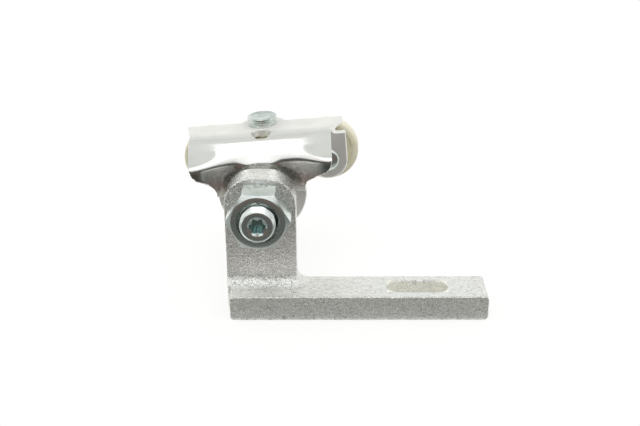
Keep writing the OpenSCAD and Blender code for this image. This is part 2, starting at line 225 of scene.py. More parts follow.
@dataclass(frozen=True)
class Zinc:
    """A zinc-plated metal: a grain, soft blotches and darker pits, calmer on the faces that look up,
    where fewer dark specks are a painted light on the tops.
    """

    name: str
    light: RGB
    dark: RGB
    roughness: float
    grain_mm: float
    grain_depth_mm: float
    blotch_mm: float
    blotch: float = 0.4
    speck: float = 0.0
    metal: float = 1.0
    scuff: float = 0.0
    fine_ratio: float = 0.55
    pit_ratio: float = 1.7
    upward: Span = (0.86, 0.985)

    def dress(self, graph: Graph, skin: Skin) -> None:
        """Changes the skin in places. A plain finish leaves it as it is.

        Args:
            graph: the material's node tree.
            skin: the skin to change.
        """

    def paint(self) -> bpy.types.Material:
        """Builds the material.

        Returns:
            The material.
        """
        material = bpy.data.materials.new(self.name)
        material.use_nodes = True
        graph = Graph(material.node_tree)
        grain = graph.noise(self.grain_mm, 3.0)
        fine = graph.noise(self.grain_mm * self.fine_ratio)
        blotch = graph.noise(self.blotch_mm).above(0.35, 0.65)
        pits = graph.noise(self.grain_mm * self.pit_ratio).above(0.58, 0.72) * self.speck
        facing = graph.add("ShaderNodeTexCoord", output="Normal")
        upward = graph.split(facing)[2].above(*self.upward)
        # The dark specks are the metal's grain; thinning them on faces that look up paints the tops
        # lighter, as light from above does.
        specks_with_painted_lit_tops = fine.above(0.40, 0.62) * (1 - upward * 0.75)
        shade = blotch * self.blotch + specks_with_painted_lit_tops * (0.55 - 0.5 * self.blotch) + pits * 0.7
        rough = self.roughness + (blotch - 0.5) * 0.06 + (grain - 0.5) * 0.12 + pits * 0.1
        height = (grain * 0.65 + fine * 0.35 - pits * 0.5) * (self.grain_depth_mm * MM)
        skin = Skin(
            colour=graph.blend(shade, self.light, self.dark),
            metal=self.metal,
            rough=rough + upward * self.scuff,
            height=height * (1 - upward * 0.55),
            facing=facing,
        )
        self.dress(graph, skin)
        inputs = {"Height": skin.height, "Strength": 1.0, "Distance": 1.0}
        relief = graph.add("ShaderNodeBump", None, inputs)
        inputs = {
            "Base Color": skin.colour,
            "Metallic": skin.metal,
            "Roughness": skin.rough,
            "Normal": relief,
        }
        shader = graph.add("ShaderNodeBsdfPrincipled", None, inputs)
        graph.add("ShaderNodeOutputMaterial", None, {"Surface": shader})
        return material


@dataclass(frozen=True)
class SlottedZinc(Zinc):
    """The arm's finish, with paler walls in its slot."""

    wall: RGB = (0.98, 0.97, 0.88)
    half_length_mm: Span = (10.5, 10.7)
    half_width_mm: Span = (4.15, 4.35)

    def dress(self, graph: Graph, skin: Skin) -> None:
        """Pales the walls of the slot.

        Args:
            graph: the material's node tree.
            skin: the skin to change.
        """
        across, back, _ = graph.split(graph.place())
        inside = abs(across).within(self.half_length_mm) * abs(back).within(self.half_width_mm)
        skin.colour = graph.blend(inside, skin.colour, self.wall)
        skin.metal = self.metal * (1 - inside)


@dataclass(frozen=True)
class SocketZinc(Zinc):
    """The finish of stud, nut and washers, with painted shade in the stud's recess."""

    # The painted shade in the stud's recess: its colour, its reach and how much of it covers the metal.
    recess: RGB = (0.30, 0.45, 0.44)
    recess_shade_r_mm: Span = (3.15, 3.35)
    recess_shade_y_mm: Span = (-11.65, -10.9)
    shade_cover: float = 0.9

    def dress(self, graph: Graph, skin: Skin) -> None:
        """Paints shade into the recess.

        Args:
            graph: the material's node tree.
            skin: the skin to change.
        """
        across, back, high = graph.split(graph.place())
        sides = {"X": across - PIVOT_X * MM, "Z": high - PIVOT_Z * MM}
        flat = graph.add("ShaderNodeCombineXYZ", None, sides)
        away = graph.add("ShaderNodeVectorMath", {"operation": "LENGTH"}, {0: flat}, "Value")
        # Painted shade inside the stud's recess.
        painted_recess_shade = away.within(self.recess_shade_r_mm) * back.past(self.recess_shade_y_mm)
        skin.colour = graph.blend(painted_recess_shade * self.shade_cover, skin.colour, self.recess)


@dataclass(frozen=True)
class PressedZinc(Zinc):
    """The carriage's finish: soft bends that carry the light, and painted shade with a painted warm
    reflection in the hollows behind the wings.
    """

    front: Span = (0.5, 0.8)
    tab_y_mm: Span = (22.0, 23.5)
    bend_mm: Span = (11.5, 17.5)
    bend_rise_mm: float = 1.9
    bridge_mm: Span = (8.0, 14.5)
    bridge_rise_mm: float = 1.6
    bridge_half_mm: Span = (2.5, 9.0)
    bridge_drop_mm: float = 3.0
    # Where the painted shade and the painted warm reflection lie on the apron, their grey and brown
    # colours, and how much they cover.
    shade_top_mm: Span = (10.0, 15.0)
    shade_foot_mm: Span = (1.0, 5.0)
    shade_side_mm: Span = (3.0, 8.0)
    painted_shade_grey: RGB = (0.19, 0.185, 0.17)
    warm: RGB = (0.30, 0.19, 0.15)
    reflection_top_mm: Span = (4.0, 10.0)
    reflection_side_mm: Span = (8.0, 14.0)
    shade_cover: float = 0.66
    eye_top_mm: Span = (1.0, 4.0)
    dull_metal: float = 0.3
    dull_rough: float = 0.26

    def dress(self, graph: Graph, skin: Skin) -> None:
        """Bends the light on the apron, paints shade and a warm reflection into the hollows and dulls
        the eye and the tabs.

        Args:
            graph: the material's node tree.
            skin: the skin to change.
        """
        cos, sin = math.cos(math.radians(TILT_DEG)), math.sin(math.radians(TILT_DEG))
        across, back, high = graph.split(graph.place())
        level = (high - PIVOT_Z * MM) * cos - (across - PIVOT_X * MM) * sin
        wide = abs((across - PIVOT_X * MM) * cos + (high - PIVOT_Z * MM) * sin)
        # The apron faces the front; the tabs behind it do too, and keep a plain dull finish.
        tabs = back.past(self.tab_y_mm)
        apron = (0 - graph.split(skin.facing)[1]).above(*self.front) * (1 - tabs)
        bridge = wide.within(self.bridge_half_mm)
        # A rise towards the foot tips the reflection up, so the bend shows the bright band.
        swell = level.within(self.bend_mm) * self.bend_rise_mm
        swell = swell + bridge * level.within(self.bridge_mm) * self.bridge_rise_mm
        skin.height = skin.height + swell * MM * (1 - tabs)
        # Painted shade on the apron below the bend, kept off its middle: grey, with a painted warm brown
        # reflection low at the outer ends.
        arch = level + bridge * (self.bridge_drop_mm * MM)
        painted_shade = arch.within(self.shade_top_mm) * level.past(self.shade_foot_mm) * apron
        warm_reflection = level.within(self.reflection_top_mm) * wide.past(self.reflection_side_mm)
        painted_shade_colour = graph.blend(warm_reflection, self.painted_shade_grey, self.warm)
        painted_shade = painted_shade * wide.past(self.shade_side_mm) * self.shade_cover
        skin.colour = graph.blend(painted_shade, skin.colour, painted_shade_colour)
        dull = tabs + level.within(self.eye_top_mm) * (1 - tabs)
        skin.metal = 1 - dull * self.dull_metal
        skin.rough = skin.rough + dull * self.dull_rough


@dataclass(frozen=True)
class Nylon:
    """Natural nylon: waxy, slightly cloudy, with fine moulding marks."""

    name: str
    light: RGB
    dark: RGB
    roughness: float = 0.36
    cloud_mm: float = 5.0
    mark_mm: float = 0.5
    mark_depth_mm: float = 0.02
    glow: float = 0.25
    glow_reach: RGB = (0.9, 0.8, 0.5)
    glow_mm: float = 2.0

    def paint(self) -> bpy.types.Material:
        """Builds the material.

        Returns:
            The material.
        """
        material = bpy.data.materials.new(self.name)
        material.use_nodes = True
        graph = Graph(material.node_tree)
        cloud = graph.noise(self.cloud_mm).above(0.3, 0.7)
        fine = graph.noise(self.mark_mm)
        marks = {"Height": fine, "Strength": 0.6, "Distance": self.mark_depth_mm * MM}
        inputs = {
            "Base Color": graph.blend(cloud * 0.7 + fine * 0.2, self.light, self.dark),
            "Roughness": self.roughness + (fine - 0.5) * 0.15,
            "Subsurface Weight": self.glow,
            "Subsurface Radius": self.glow_reach,
            "Subsurface Scale": self.glow_mm * MM,
            "Normal": graph.add("ShaderNodeBump", None, marks),
        }
        shader = graph.add("ShaderNodeBsdfPrincipled", None, inputs)
        graph.add("ShaderNodeOutputMaterial", None, {"Surface": shader})
        return material


class Finish(Enum):
    """The finishes of the real part."""

    CAST = SlottedZinc(
        name="cast_zinc",
        light=(0.99, 0.99, 0.965),
        dark=(0.36, 0.36, 0.34),
        roughness=0.24,
        grain_mm=0.62,
        grain_depth_mm=0.44,
        blotch_mm=6.0,
        blotch=0.05,
        speck=0.55,
        metal=0.88,
    )
    SHEET = PressedZinc(
        name="zinc_sheet",
        light=(0.96, 0.95, 0.925),
        dark=(0.81, 0.81, 0.79),
        roughness=0.17,
        grain_mm=0.5,
        grain_depth_mm=0.010,
        blotch_mm=9.0,
        blotch=0.35,
        speck=0.15,
        scuff=0.42,
    )
    STEEL = SocketZinc(
        name="zinc_steel",
        light=(0.80, 0.85, 0.83),
        dark=(0.56, 0.62, 0.60),
        roughness=0.24,
        grain_mm=0.4,
        grain_depth_mm=0.030,
        blotch_mm=4.0,
        blotch=0.35,
        speck=0.3,
    )
    RIVET = Zinc(
        name="zinc_rivet",
        light=(0.78, 0.82, 0.79),
        dark=(0.50, 0.58, 0.56),
        roughness=0.28,
        grain_mm=0.4,
        grain_depth_mm=0.020,
        blotch_mm=3.0,
        blotch=0.6,
        speck=0.3,
    )
    NYLON = Nylon(name="nylon", light=(0.93, 0.90, 0.73), dark=(0.86, 0.81, 0.62))


SLOT_FINISH = {
    Slot.CAST: Finish.CAST,
    Slot.SHEET: Finish.SHEET,
    Slot.STEEL: Finish.STEEL,
    Slot.NYLON: Finish.NYLON,
}


class Workshop:
    """Makes pieces, paints them and fixes them to their bodies."""

    def __init__(self) -> None:
        """Paints one material for each finish."""
        self.finishes = {finish: finish.value.paint() for finish in Finish}
        self.paints = {slot: self.finishes[finish] for slot, finish in SLOT_FINISH.items()}

    def piece(
        self, name: str, mesh: bpy.types.Mesh, body: Body, slot: Slot, *nodes: str
    ) -> bpy.types.Object:
        """Turns a mesh into a dressed piece, with a rivet's own finish where it is an axle.

        Args:
            name: the piece's name.
            mesh: its mesh in the row frame.
            body: the body that it rides on.
            slot: the record's material slot.
            nodes: the CAD nodes that it replaces.

        Returns:
            The piece.
        """
        thing = bpy.data.objects.new(name, mesh)
        bpy.context.scene.collection.objects.link(thing)
        mesh.materials.clear()
        mesh.materials.append(self.paints[slot])
        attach(thing, body.value)
        if nodes:
            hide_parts(*nodes)
        if any("axle" in node for node in nodes):
            mesh.materials[0] = self.finishes[Finish.RIVET]
        LOG.info("%s rides on %s, %d faces", name, body.value, len(mesh.polygons))
        return thing


def smooth(mesh: bpy.types.Mesh, angle_deg: float = 40.0) -> bpy.types.Mesh:
    """Shades a mesh smooth, apart from its sharp edges.

    Args:
        mesh: the mesh.
        angle_deg: the angle above which an edge stays sharp.

    Returns:
        The same mesh.
    """
    mesh.polygons.foreach_set("use_smooth", [True] * len(mesh.polygons))
    mesh.set_sharp_from_angle(angle=math.radians(angle_deg))
    return mesh


def soften(
    profile: Profile, radius: float, closed: bool = False, steps: int = 3
) -> list[tuple[float, float]]:
    """Rounds the corners of a profile.

    Args:
        profile: (radius, along) points.
        radius: the corner radius, cut down where a side is short.
        closed: rounds the first and last corner too.
        steps: points on each corner.

    Returns:
        The profile with round corners.
    """
    out: list[tuple[float, float]] = []
    count = len(profile)
    for index, point in enumerate(profile):
        here = Vector(point)
        if not closed and index in (0, count - 1):
            out.append(tuple(here))
            continue
        before, after = Vector(profile[index - 1]), Vector(profile[(index + 1) % count])
        reach = min(radius, (here - before).length * 0.45, (after - here).length * 0.45)
        start = here + (before - here).normalized() * reach
        end = here + (after - here).normalized() * reach
        for step in range(steps + 1):
            t = step / steps
            out.append(tuple(start * (1 - t) ** 2 + here * 2 * t * (1 - t) + end * t**2))
    return out


def lathe(
    name: str,
    profile: Profile,
    place: Matrix,
    segments: int = 96,
    shape: Callable[[float, float, float], float] | None = None,
    closed: bool = False,
) -> bpy.types.Mesh:
    """Turns a profile about the local Z axis.

    Args:
        name: the mesh's name.
        profile: (radius, along) points in millimetres.
        place: the matrix from the local frame in millimetres to the row frame in metres.
        segments: columns around the axis.
        shape: changes a radius by (radius, along, angle).
        closed: joins the last ring to the first, for a ring with a bore.

    Returns:
        The mesh.
    """
    bm = bmesh.new()
    rings = []
    for radius, along in profile:
        # A radius of nought closes the end in one point.
        if radius < 1e-6:
            rings.append([bm.verts.new(place @ Vector((0, 0, along)))])
            continue
        ring = []
        for step in range(segments):
            angle = math.tau * step / segments
            reach = shape(radius, along, angle) if shape else radius
            spot = Vector((reach * math.cos(angle), reach * math.sin(angle), along))
            ring.append(bm.verts.new(place @ spot))
        rings.append(ring)
    pairs = list(zip(rings, rings[1:] + ([rings[0]] if closed else [])))
    for one, two in pairs:
        for step in range(segments):
            after = (step + 1) % segments
            if len(one) == 1 and len(two) == 1:
                continue
            if len(one) == 1:
                bm.faces.new((one[0], two[step], two[after]))
            elif len(two) == 1:
                bm.faces.new((one[step], two[0], one[after]))
            else:
                bm.faces.new((one[step], two[step], two[after], one[after]))
    bmesh.ops.recalc_face_normals(bm, faces=bm.faces)
    mesh = bpy.data.meshes.new(name)
    bm.to_mesh(mesh)
    bm.free()
    return smooth(mesh)


def tube(outer: float, inner: float, start: float, length: float) -> Profile:
    """The profile of a plain ring.

    Args:
        outer: its outer radius.
        inner: its bore's radius.
        start: where it begins along the axis.
        length: its length.

    Returns:
        (radius, along) points.
    """
    end = start + length
    return [(inner, start), (outer, start), (outer, end), (inner, end)]


def dense_copy(node: str, voxel_mm: float, upright: Matrix, relax: int = 3) -> bpy.types.Mesh:
    """Copies a CAD node into an even, closed mesh whose edges are slightly round.

    Args:
        node: the CAD node.
        voxel_mm: the size of the new mesh's faces.
        upright: turns the node square to the axes while it is remade.
        relax: smoothing passes.

    Returns:
        The mesh, still turned square.
    """
    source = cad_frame["nodes"][node].data.copy()
    source.transform(upright)
    thing = bpy.data.objects.new(node + "_copy", source)
    bpy.context.scene.collection.objects.link(thing)
    remesh = thing.modifiers.new("even", "REMESH")
    remesh.mode = "VOXEL"
    remesh.voxel_size = voxel_mm * MM
    relaxer = thing.modifiers.new("relax", "SMOOTH")
    relaxer.factor = 0.5
    relaxer.iterations = relax
    graph = bpy.context.evaluated_depsgraph_get()
    mesh = bpy.data.meshes.new_from_object(thing.evaluated_get(graph))
    bpy.data.objects.remove(thing)
    return mesh


@dataclass
class Pivot:
    """The swivel axis and the carriage's frame on it, in millimetres and degrees."""

    x: float = PIVOT_X
    z: float = PIVOT_Z
    tilt: float = TILT_DEG

    def still(self) -> Matrix:
        """The frame at the pivot, square to the row frame."""
        return Matrix.Scale(MM, 4) @ Matrix.Translation((self.x, 0, self.z))

    def turned(self) -> Matrix:
        """The frame of the carriage."""
        return self.still() @ Matrix.Rotation(math.radians(-self.tilt), 4, "Y")

    @staticmethod
    def along_y(y: float = 0.0) -> Matrix:
        """Puts a local Z axis onto the Y axis, starting at y."""
        return Matrix.Translation((0, y, 0)) @ Matrix.Rotation(math.radians(-90), 4, "X")


@dataclass
class Stud:
    """The swivel stud with its thread and six-lobe recess."""

    front: float = -11.7
    radius: float = 6.0
    pitch: float = 1.75
    depth: float = 0.85
    crest: float = 0.03
    chamfer: float = 0.9
    rows: int = 96
    thread_length: float = 18.0
    thread_end: float = 10.0
    recess_r: float = 2.8
    recess_depth: float = 3.4
    lobes: int = 6
    lobe_wave: float = 0.14
    lug_rear: float = 12.0
    flange_r: float = 9.3
    flange_rear: float = 17.0
    journal_r: float = 7.0
    journal_rear: float = 20.4
    tail_r: float = 4.5
    washer_rear: float = 21.9
    head_r: float = 6.5
    head_h: float = 2.5

    def reach(self, radius: float, along: float, angle: float) -> float:
        """The radius of the thread or recess at an angle.

        Args:
            radius: the plain radius.
            along: the distance along the stud.
            angle: the angle about its axis.

        Returns:
            The radius of the real surface.
        """
        if along < self.front + self.recess_depth + 0.01 and radius < self.recess_r + 0.15:
            return radius * (1 + self.lobe_wave * math.cos(self.lobes * angle))
        if along >= self.thread_end or radius <= self.radius - self.chamfer - 0.01:
            return radius
        turn = ((along / self.pitch - angle / math.tau) % 1.0) * 2 - 1
        groove = self.depth * min(1.0, max(0.0, abs(turn) * 1.25 - 0.12))
        return min(radius, self.radius - self.crest - groove)

    def profile(self) -> list[tuple[float, float]]:
        """The stud's profile from the floor of the recess to the riveted tail.

        Returns:
            (radius, along) points.
        """
        front = self.front
        face = [
            (0.0, front + self.recess_depth),
            (1.0, front + self.recess_depth),
            (self.recess_r * 0.86, front + self.recess_depth),
            (self.recess_r * 0.87, front + 1.2),
            (self.recess_r * 0.88, front + 0.5),
            (self.recess_r + 0.5, front + 0.08),
            (self.recess_r + 0.7, front),
            (self.radius - self.chamfer - 0.15, front),
        ]
        end = front + self.thread_length
        body = []
        for row in range(self.rows + 1):
            along = front + 0.05 + (end - front) * row / self.rows
            cone = self.radius - self.chamfer + (along - front)
            body.append((min(self.radius, cone), along))
        tail = [
            (self.radius, end + 0.3),
            (self.radius, self.lug_rear),
            (self.flange_r, self.lug_rear),
            (self.flange_r, self.flange_rear),
            (self.journal_r, self.flange_rear),
            (self.journal_r, self.journal_rear),
            (self.tail_r, self.journal_rear),
            (self.tail_r, self.washer_rear),
            (self.head_r, self.washer_rear),
            (self.head_r, self.washer_rear + self.head_h * 0.4),
            (self.head_r * 0.55, self.washer_rear + self.head_h),
            (0.0, self.washer_rear + self.head_h),
        ]
        return face + body + soften(tail, 0.35)

    def build(self, shop: Workshop, pivot: Pivot) -> None:
        """Builds the stud.

        Args:
            shop: where pieces are made.
            pivot: the swivel axis.
        """
        place = pivot.still() @ Pivot.along_y()
        mesh = lathe("threaded_stud", self.profile(), place, 144, self.reach)
        shop.piece("threaded_stud", mesh, Body.ARM, Slot.STEEL, "pivot_stud")


@dataclass
class Nut:
    """The hexagon lock nut with chamfered corners and a wide countersink."""

    front: float = -8.5
    height: float = 10.5
    flats: float = 19.0
    face_r: float = 9.03
    sink_r: float = 7.3
    bore_r: float = 6.05
    turn: float = 1.5
    edge: float = 0.35
    cone_deg: float = 30.0
    cone_steps: int = 24

    def corner_r(self) -> float:
        """The radius to the sharp corners of the hexagon."""
        return self.flats / math.sqrt(3)

    def hexagon(self, angle: float) -> float:
        """The radius of a hexagon with slightly round corners.

        Args:
            angle: the angle about the axis.

        Returns:
            The radius at that angle.
        """
        near = (math.degrees(angle) - self.turn + 30) % 60 - 30
        off = (math.degrees(angle) - self.turn) % 60 - 30
        flat = self.flats / 2 / math.cos(math.radians(off))
        corner = self.corner_r() - self.edge * 0.35
        blunt = corner / math.cos(math.radians(near)) ** 0.5
        return min(flat, blunt) if abs(near) < 6 else flat

    def build(self, shop: Workshop, pivot: Pivot) -> None:
        """Builds the nut.

        Args:
            shop: where pieces are made.
            pivot: the swivel axis.
        """
        wide = self.corner_r() - self.face_r
        depth = wide * math.tan(math.radians(self.cone_deg))
        cone = [step / self.cone_steps for step in range(self.cone_steps + 1)]
        rings = [(self.bore_r, self.sink_r - self.bore_r), (self.sink_r, 0.0), (self.face_r - 0.15, 0.0)]
        rings += [(self.face_r + wide * t, 0.03 + depth * t) for t in cone]
        rings += [(self.face_r + wide * t, self.height - 0.03 - depth * t) for t in reversed(cone)]
        rings += [(self.face_r - 0.15, self.height), (self.bore_r, self.height)]

        def shape(radius: float, along: float, angle: float) -> float:
            """Cuts the cone back to the hexagon."""
            return min(radius, self.hexagon(angle)) if radius > self.face_r - 0.1 else radius

        place = pivot.still() @ Pivot.along_y(self.front)
        mesh = lathe("hexagon_nut", rings, place, 360, shape, closed=True)
        shop.piece("hexagon_nut", smooth(mesh, 25), Body.ARM, Slot.STEEL, "lock_nut")


@dataclass
class Arm:
    """The cast arm with its lug: slightly round edges, a rough skin and a few nicks along its edges."""

    voxel: float = 0.34
    coarse_mm: float = 1.05
    fine_mm: float = 0.55
    relief_mm: float = 0.15
    inward: float = 0.25
    floor: float = 0.02
    foot: float = 0.25
    heart: tuple[float, float, float] = (-22.0, 0.0, 8.0)
    nicks: tuple[tuple[float, float, float, float], ...] = (
        (-55.0, -8.0, 0.0, 0.9),
        (-62.6, -8.0, 0.0, 0.7),
        (-51.5, -8.0, 0.2, 0.5),
        (12.0, -8.0, 8.9, 0.5),
        (-20.0, -8.0, 0.0, 0.5),
    )

    def skin(self, mesh: bpy.types.Mesh) -> None:
        """Roughens the surface and presses the nicks in towards the heart of the arm.

        Args:
            mesh: the arm's mesh in the row frame.
        """
        heart = Vector(self.heart)
        # All normals are read first, because a moved point has them all worked out again.
        rows = [(vertex.co / MM, vertex.normal.copy()) for vertex in mesh.vertices]
        spots: list[float] = []
        for spot, normal in rows:
            rough = noise.noise(spot / self.coarse_mm) * 0.6 + noise.noise(spot / self.fine_mm) * 0.4
            move = normal * (rough - self.inward) * self.relief_mm
            for x, y, z, size in self.nicks:
                near = (spot - Vector((x, y, z))).length / size
                if near < 1:
                    move += (heart - spot).normalized() * (1 - near) * size * 0.5
            spot = spot + move
            spot.z = max(spot.z, self.floor) if spot.z < self.foot else spot.z
            spots.extend(spot * MM)
        mesh.vertices.foreach_set("co", spots)
        mesh.update()

    def build(self, shop: Workshop) -> None:
        """Builds the arm.

        Args:
            shop: where pieces are made.
        """
        mesh = dense_copy("arm", self.voxel, Matrix.Identity(4))
        self.skin(mesh)
        shop.piece("cast_arm", smooth(mesh, 60), Body.ARM, Slot.CAST, "arm")


@dataclass
class Carriage:
    """The pressed bracket of the carriage."""

    voxel: float = 0.35

    def build(self, shop: Workshop, pivot: Pivot) -> None:
        """Builds the bracket.

        Args:
            shop: where pieces are made.
            pivot: the swivel axis.
        """
        turned = pivot.turned() @ Matrix.Scale(1 / MM, 4)
        mesh = dense_copy("carriage_bracket", self.voxel, turned.inverted())
        mesh.transform(turned)
        shop.piece("pressed_bracket", smooth(mesh, 60), Body.CARRIAGE, Slot.SHEET, "carriage_bracket")


@dataclass
class Turned:
    """A turned or moulded piece: a profile about an axis."""

    name: str
    node: str
    body: Body
    slot: Slot
    profile: Profile
    place: Matrix
    edge: float = 0.2
    closed: bool = True

    def build(self, shop: Workshop) -> None:
        """Builds the piece.

        Args:
            shop: where pieces are made.
        """
        outline = soften(self.profile, self.edge, self.closed)
        mesh = lathe(self.name, outline, self.place, 128, closed=self.closed)
        shop.piece(self.name, mesh, self.body, self.slot, self.node)


@dataclass
class SwivelBearing:
    """The bush in the eye and the washer behind it."""

    bush_r: float = 8.05
    bore_r: float = 7.05
    flange_r: float = 9.0
    front: float = 17.05
    eye_front: float = 17.8
    eye_rear: float = 20.3
    washer_front: float = 20.4
    washer_t: float = 1.5
    washer_r: float = 9.4
    tail_r: float = 4.52

    def build(self, shop: Workshop, pivot: Pivot) -> None:
        """Builds both rings.

        Args:
            shop: where pieces are made.
            pivot: the swivel axis.
        """
        bush = [
            (self.bore_r, self.front),
            (self.flange_r, self.front),
            (self.flange_r, self.eye_front),
            (self.bush_r, self.eye_front),
            (self.bush_r, self.eye_rear),
            (self.bore_r, self.eye_rear),
        ]
        turned = pivot.turned() @ Pivot.along_y()
        Turned("eye_bush", "pivot_bush", Body.CARRIAGE, Slot.NYLON, bush, turned).build(shop)
        ring = tube(self.washer_r, self.tail_r, self.washer_front, self.washer_t)
        still = pivot.still() @ Pivot.along_y()
        Turned("tail_washer", "pivot_washer", Body.ARM, Slot.STEEL, ring, still).build(shop)


@dataclass
class SideWheel:
    """One side roller with its rivet, spacer, sleeve and washer."""

    side: str
    x: float
    body: Body
    z: float = 7.9
    ear_front: float = 24.6
    ear_rear: float = 27.1
    front: float = 34.6
    width: float = 6.5
    radius: float = 11.2
    bevel: float = 0.7
    shoulder: float = 0.9
    rim_r: float = 8.9
    hub_r: float = 5.85
    recess: float = 1.6
    sleeve_r: float = 4.25
    axle_r: float = 3.0
    head_r: float = 4.1
    head_h: float = 1.0
    gap: float = 0.1
    play: float = 0.05
    seat: float = 0.02
    washer_t: float = 0.8
    washer_r: float = 5.0
    spacer_r: float = 4.5
    tail_h: float = 1.4
    tail_out: float = 1.2

    def tread(self) -> Profile:
        """The profile of the nylon roller, with a groove in each side.

        Returns:
            (radius, along) points.
        """
        front, rear = self.front, self.front + self.width
        bore = self.sleeve_r + self.seat
        return [
            (bore, front),
            (self.hub_r, front),
            (self.hub_r - 0.1, front + self.recess),
            (self.rim_r - 0.3, front + self.recess),
            (self.rim_r, front),
            (self.radius - self.bevel, front),
            (self.radius, front + self.shoulder),
            (self.radius, rear - self.shoulder),
            (self.radius - self.bevel, rear),
            (self.rim_r, rear),
            (self.rim_r - 0.3, rear - self.recess),
            (self.hub_r - 0.1, rear - self.recess),
            (self.hub_r, rear),
            (bore, rear),
        ]

    def rivet(self, tail: float) -> Profile:
        """The profile of the rivet from its domed head to its tail.

        Args:
            tail: where the riveted tail begins along the axis.

        Returns:
            (radius, along) points.
        """
        ear = self.ear_front
        return [
            (0.0, ear - self.head_h),
            (self.head_r * 0.55, ear - self.head_h * 0.97),
            (self.head_r * 0.88, ear - self.head_h * 0.65),
            (self.head_r, ear - 0.1),
            (self.head_r, ear),
            (self.axle_r, ear),
            (self.axle_r, tail),
            (self.axle_r + self.tail_out, tail),
            (self.axle_r + self.tail_out, tail + self.tail_h * 0.4),
            (self.axle_r - 1.0, tail + self.tail_h),
            (0.0, tail + self.tail_h),
        ]

    def build(self, shop: Workshop, pivot: Pivot) -> None:
        """Builds the wheel and what carries it.

        Args:
            shop: where pieces are made.
            pivot: the swivel axis.
        """
        place = pivot.turned() @ Matrix.Translation((self.x, 0, self.z)) @ Pivot.along_y()
        bore = self.axle_r + self.seat
        washer = self.front + self.width + self.gap
        spacer = tube(self.spacer_r, bore, self.ear_rear, self.front - self.gap - self.ear_rear)
        sleeve = tube(self.sleeve_r, self.axle_r + self.play, self.front, self.width)
        ring = tube(self.washer_r, bore, washer, self.washer_t)
        rivet = self.rivet(washer + self.washer_t)
        rows = [
            ("roller", self.body, Slot.NYLON, self.tread(), 0.5, True),
            ("axle", Body.CARRIAGE, Slot.STEEL, rivet, 0.3, False),
            ("spacer", Body.CARRIAGE, Slot.STEEL, spacer, 0.3, True),
            ("sleeve", self.body, Slot.STEEL, sleeve, 0.15, True),
            ("washer", Body.CARRIAGE, Slot.STEEL, ring, 0.2, True),
        ]
        for kind, body, slot, profile, edge, closed in rows:
            name, node = f"{self.side}_{kind}", f"side_{kind}_{self.side}"
            Turned(name, node, body, slot, profile, place, edge, closed).build(shop)


@dataclass
class GuideWheel:
    """The upright guide roller under the top sheet, on its dished rivet."""

    x: float = 1.4
    y: float = 30.9
    sheet_top: float = 21.0
    sheet_t: float = 2.5
    head_r: float = 5.2
    head_h: float = 3.3
    dish: float = 0.45
    axle_r: float = 3.0
    tail_h: float = 1.4
    tail_out: float = 1.2
    washer_t: float = 0.8
    washer_r: float = 5.0
    gap: float = 0.1
    play: float = 0.05
    seat: float = 0.02
    height: float = 7.0
    radius: float = 8.0
    bevel: float = 0.6
    shoulder: float = 0.9
    sleeve_r: float = 4.25

    def rivet(self, lower: float) -> Profile:
        """The profile of the rivet from its tail to its grooved and dished head.

        Args:
            lower: the underside of the lower washer.

        Returns:
            (radius, along) points.
        """
        base, crown = self.sheet_top, self.sheet_top + self.head_h
        return [
            (0.0, lower - self.tail_h),
            (self.axle_r - 1.0, lower - self.tail_h),
            (self.axle_r + self.tail_out, lower - 0.5),
            (self.axle_r + self.tail_out, lower),
            (self.axle_r, lower),
            (self.axle_r, base),
            (self.head_r - 0.35, base),
            (self.head_r - 0.25, base + 1.35),
            (self.head_r - 0.75, base + 1.6),
            (self.head_r - 0.75, base + 1.95),
            (self.head_r, base + 2.2),
            (self.head_r, crown - 0.25),
            (self.head_r - 0.35, crown),
            (self.head_r - 0.9, crown),
            (self.head_r - 1.6, crown - self.dish),
            (1.2, crown - self.dish * 1.1),
            (0.0, crown - self.dish * 0.9),
        ]

    def build(self, shop: Workshop, pivot: Pivot) -> None:
        """Builds the roller and its rivet.

        Args:
            shop: where pieces are made.
            pivot: the swivel axis.
        """
        place = pivot.turned() @ Matrix.Translation((self.x, self.y, 0))
        upper = self.sheet_top - self.sheet_t - self.washer_t
        top = upper - self.gap
        foot = top - self.height
        lower = foot - self.gap - self.washer_t
        tread = [
            (self.sleeve_r + self.seat, foot),
            (self.radius - self.bevel, foot),
            (self.radius, foot + self.shoulder),
            (self.radius, top - self.shoulder),
            (self.radius - self.bevel, top),
            (self.sleeve_r + self.seat, top),
        ]
        sleeve = tube(self.sleeve_r, self.axle_r + self.play, foot, self.height)
        over = tube(self.washer_r, self.axle_r + self.seat, upper, self.washer_t)
        under = tube(self.washer_r, self.axle_r + self.seat, lower, self.washer_t)
        rivet = self.rivet(lower)
        rows = [
            ("top_rivet", "guide_axle", Body.CARRIAGE, Slot.STEEL, rivet, 0.18, False),
            ("top_roller_tread", "guide_roller", Body.TOP, Slot.NYLON, tread, 0.5, True),
            ("top_roller_sleeve", "guide_sleeve", Body.TOP, Slot.STEEL, sleeve, 0.15, True),
            ("top_washer", "guide_washer_top", Body.CARRIAGE, Slot.STEEL, over, 0.2, True),
            ("bottom_washer", "guide_washer_bottom", Body.CARRIAGE, Slot.STEEL, under, 0.2, True),
        ]
        for name, node, body, slot, profile, edge, closed in rows:
            Turned(name, node, body, slot, profile, place, edge, closed).build(shop)


